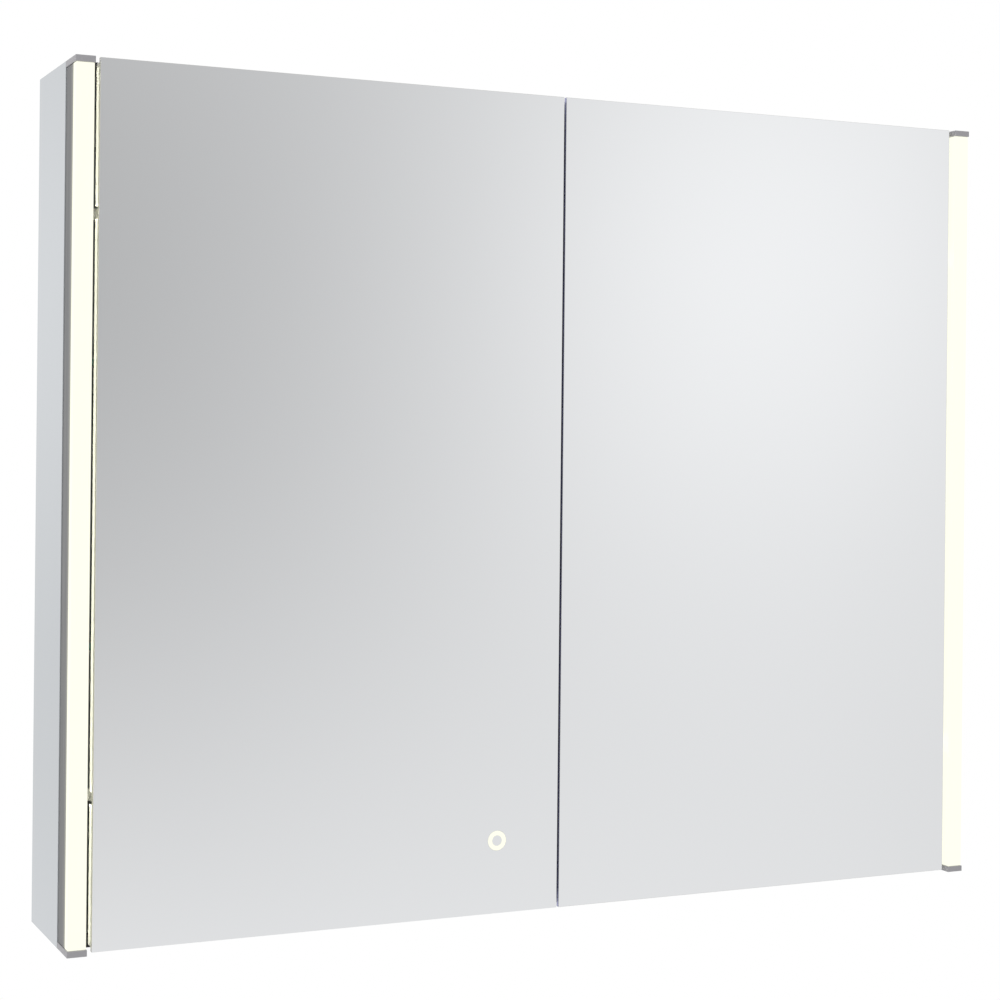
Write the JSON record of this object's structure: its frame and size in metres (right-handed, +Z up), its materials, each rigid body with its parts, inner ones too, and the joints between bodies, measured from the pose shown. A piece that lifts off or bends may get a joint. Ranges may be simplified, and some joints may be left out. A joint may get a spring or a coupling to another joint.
{
  "type": "mirror cabinet",
  "caption": "Wall-hung bathroom cabinet with hinged mirror doors, vertical light bars at the front corners, a touch ring and glass shelves.",
  "frame": {"origin": "middle of the back face, which lies on the wall", "axes": "+X to the viewer's right, +Y into the wall, +Z up"},
  "size_m": [0.85, 0.13, 0.7],
  "materials": {
    "mirror": "polished silvered glass",
    "side_mirror": "polished silvered glass, pale",
    "dark_aluminium": "fine brushed, dark grey anodised",
    "satin_aluminium": "satin anodised",
    "cap": "moulded, satin grey",
    "opal": "frosted, lit from inside",
    "board": "white circuit board",
    "panel": "moisture-resistant board, satin silver facing",
    "shelf_glass": "clear, polished edges",
    "zinc": "bright zinc plated",
    "white_plastic": "moulded, fine grain",
    "rubber": "matt black"
  },
  "bodies": {
    "cabinet": {"left_side_panel": "panel", "left_side_mirror": "side_mirror", "left_hanger": "zinc", "left_light_profile": "dark_aluminium", "left_diffuser": "opal", "left_led_strip": "board", "left_top_cap": "cap", "left_bottom_cap": "cap", "left_upper_hinge_arm": "zinc", "left_lower_hinge_arm": "zinc", "right_side_panel": "panel", "right_side_mirror": "side_mirror", "right_hanger": "zinc", "right_light_profile": "dark_aluminium", "right_diffuser": "opal", "right_led_strip": "board", "right_top_cap": "cap", "right_bottom_cap": "cap", "right_upper_hinge_arm": "zinc", "right_lower_hinge_arm": "zinc", "top_panel": "panel", "bottom_panel": "panel", "back_panel": "panel", "cable_grommet": "rubber", "led_driver": "white_plastic", "magnetic_catch": "white_plastic", "upper_shelf": "shelf_glass", "upper_shelf_pin_left_front": "zinc", "upper_shelf_pin_left_rear": "zinc", "upper_shelf_pin_right_front": "zinc", "upper_shelf_pin_right_rear": "zinc", "lower_shelf": "shelf_glass", "lower_shelf_pin_left_front": "zinc", "lower_shelf_pin_left_rear": "zinc", "lower_shelf_pin_right_front": "zinc", "lower_shelf_pin_right_rear": "zinc"},
    "left_door": {"left_door_mirror": "mirror", "left_door_inner_mirror": "mirror", "left_door_top_rail": "satin_aluminium", "left_door_bottom_rail": "satin_aluminium", "left_door_hinge_stile": "satin_aluminium", "left_door_seam_stile": "satin_aluminium", "left_strike_plate": "zinc", "left_upper_hinge_block": "zinc", "left_upper_hinge_pin": "zinc", "left_lower_hinge_block": "zinc", "left_lower_hinge_pin": "zinc", "touch_ring": "opal", "touch_sensor": "board"},
    "right_door": {"right_door_mirror": "mirror", "right_door_inner_mirror": "mirror", "right_door_top_rail": "satin_aluminium", "right_door_bottom_rail": "satin_aluminium", "right_door_hinge_stile": "satin_aluminium", "right_door_seam_stile": "satin_aluminium", "right_strike_plate": "zinc", "right_upper_hinge_block": "zinc", "right_upper_hinge_pin": "zinc", "right_lower_hinge_block": "zinc", "right_lower_hinge_pin": "zinc"}
  },
  "joints": [
    {"name": "left_door_swing", "type": "hinge", "parent": "cabinet", "child": "left_door", "pos_m": [-0.3983, -0.1189, 0], "axis": [0, 0, -1], "range_deg": [0, 100]},
    {"name": "right_door_swing", "type": "hinge", "parent": "cabinet", "child": "right_door", "pos_m": [0.3983, -0.1189, 0], "axis": [0, 0, 1], "range_deg": [0, 100]}
  ]
}
